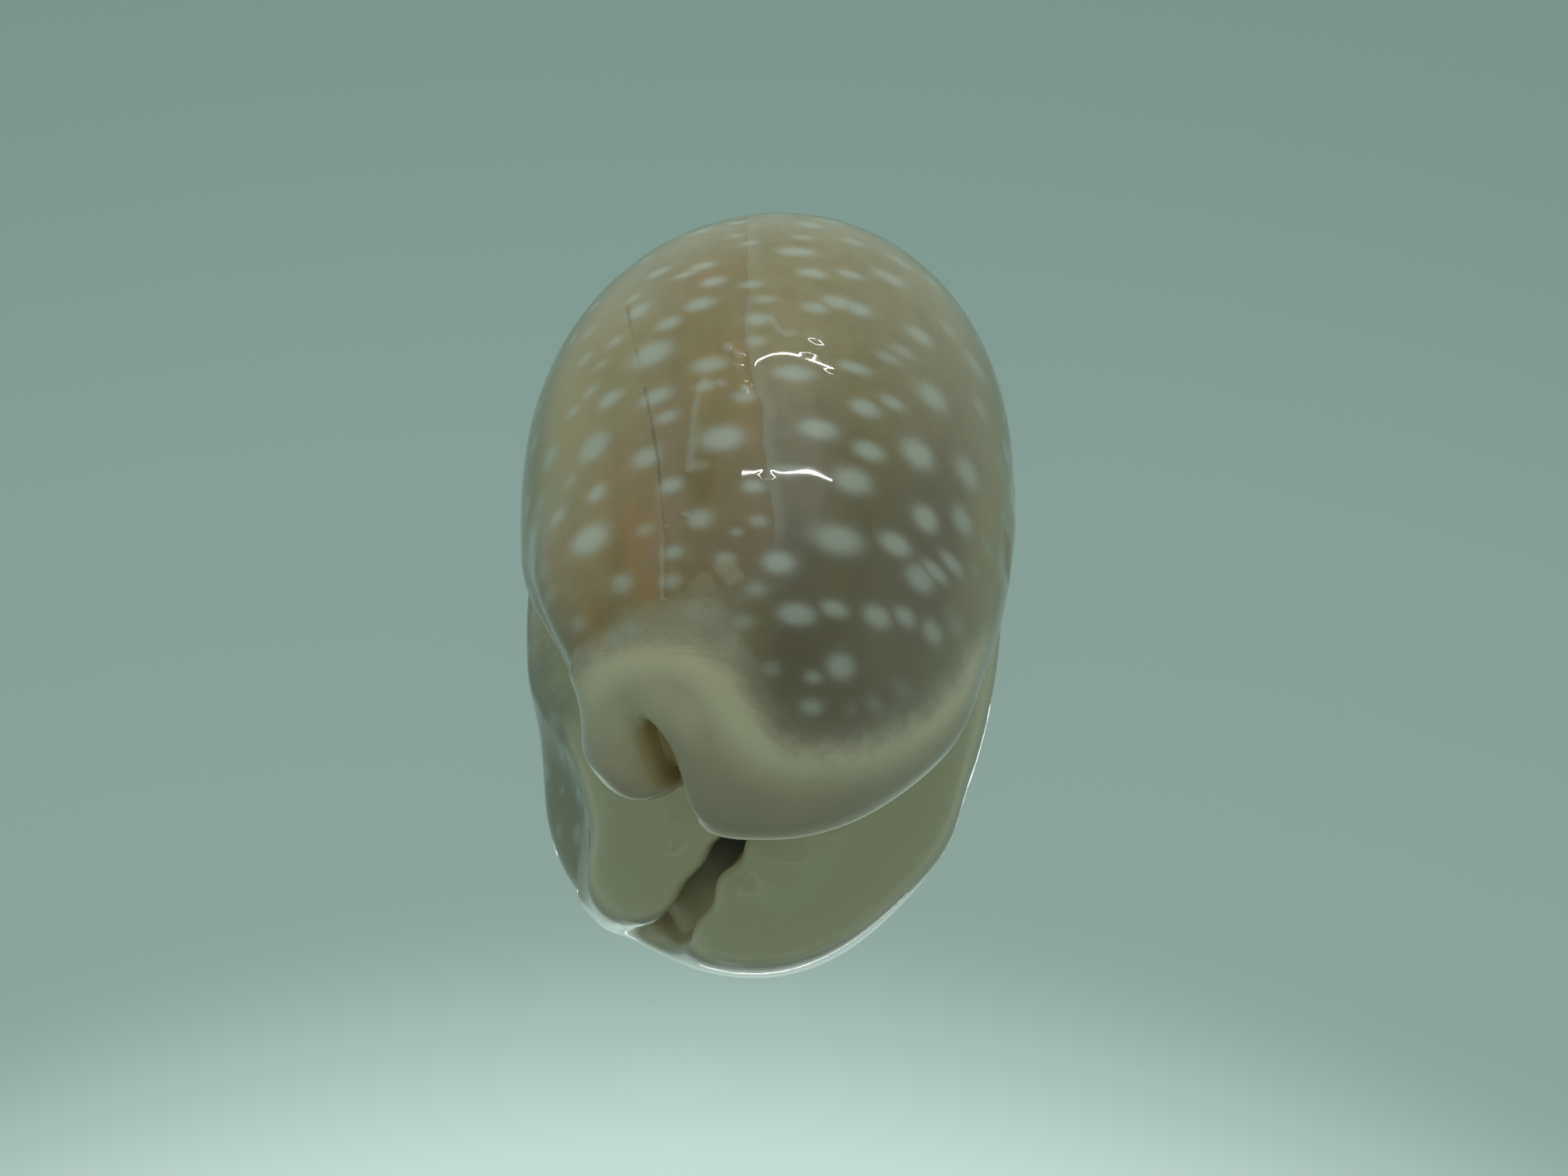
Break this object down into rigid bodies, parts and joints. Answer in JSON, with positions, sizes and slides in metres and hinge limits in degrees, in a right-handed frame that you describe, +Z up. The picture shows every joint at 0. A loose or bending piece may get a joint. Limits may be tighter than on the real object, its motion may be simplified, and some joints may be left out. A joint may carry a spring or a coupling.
{
  "type": "camel cowrie shell",
  "caption": "Glossy domed cowrie shell with a hooked notch at one end, thick rolled lips and a toothed slit along its base; hollow, and rests on a small flat spot.",
  "frame": {"origin": "middle of the bounding box in plan, on the surface that the shell rests on", "axes": "+Z up over the back of the shell, +X towards the outer lip, -Y towards the end with the hooked notch (the spire end)"},
  "size_m": [0.0386, 0.057, 0.0296],
  "materials": {
    "shell": "gloss"
  },
  "bodies": {
    "root": {"cowrie_shell": "shell"}
  },
  "joints": []
}
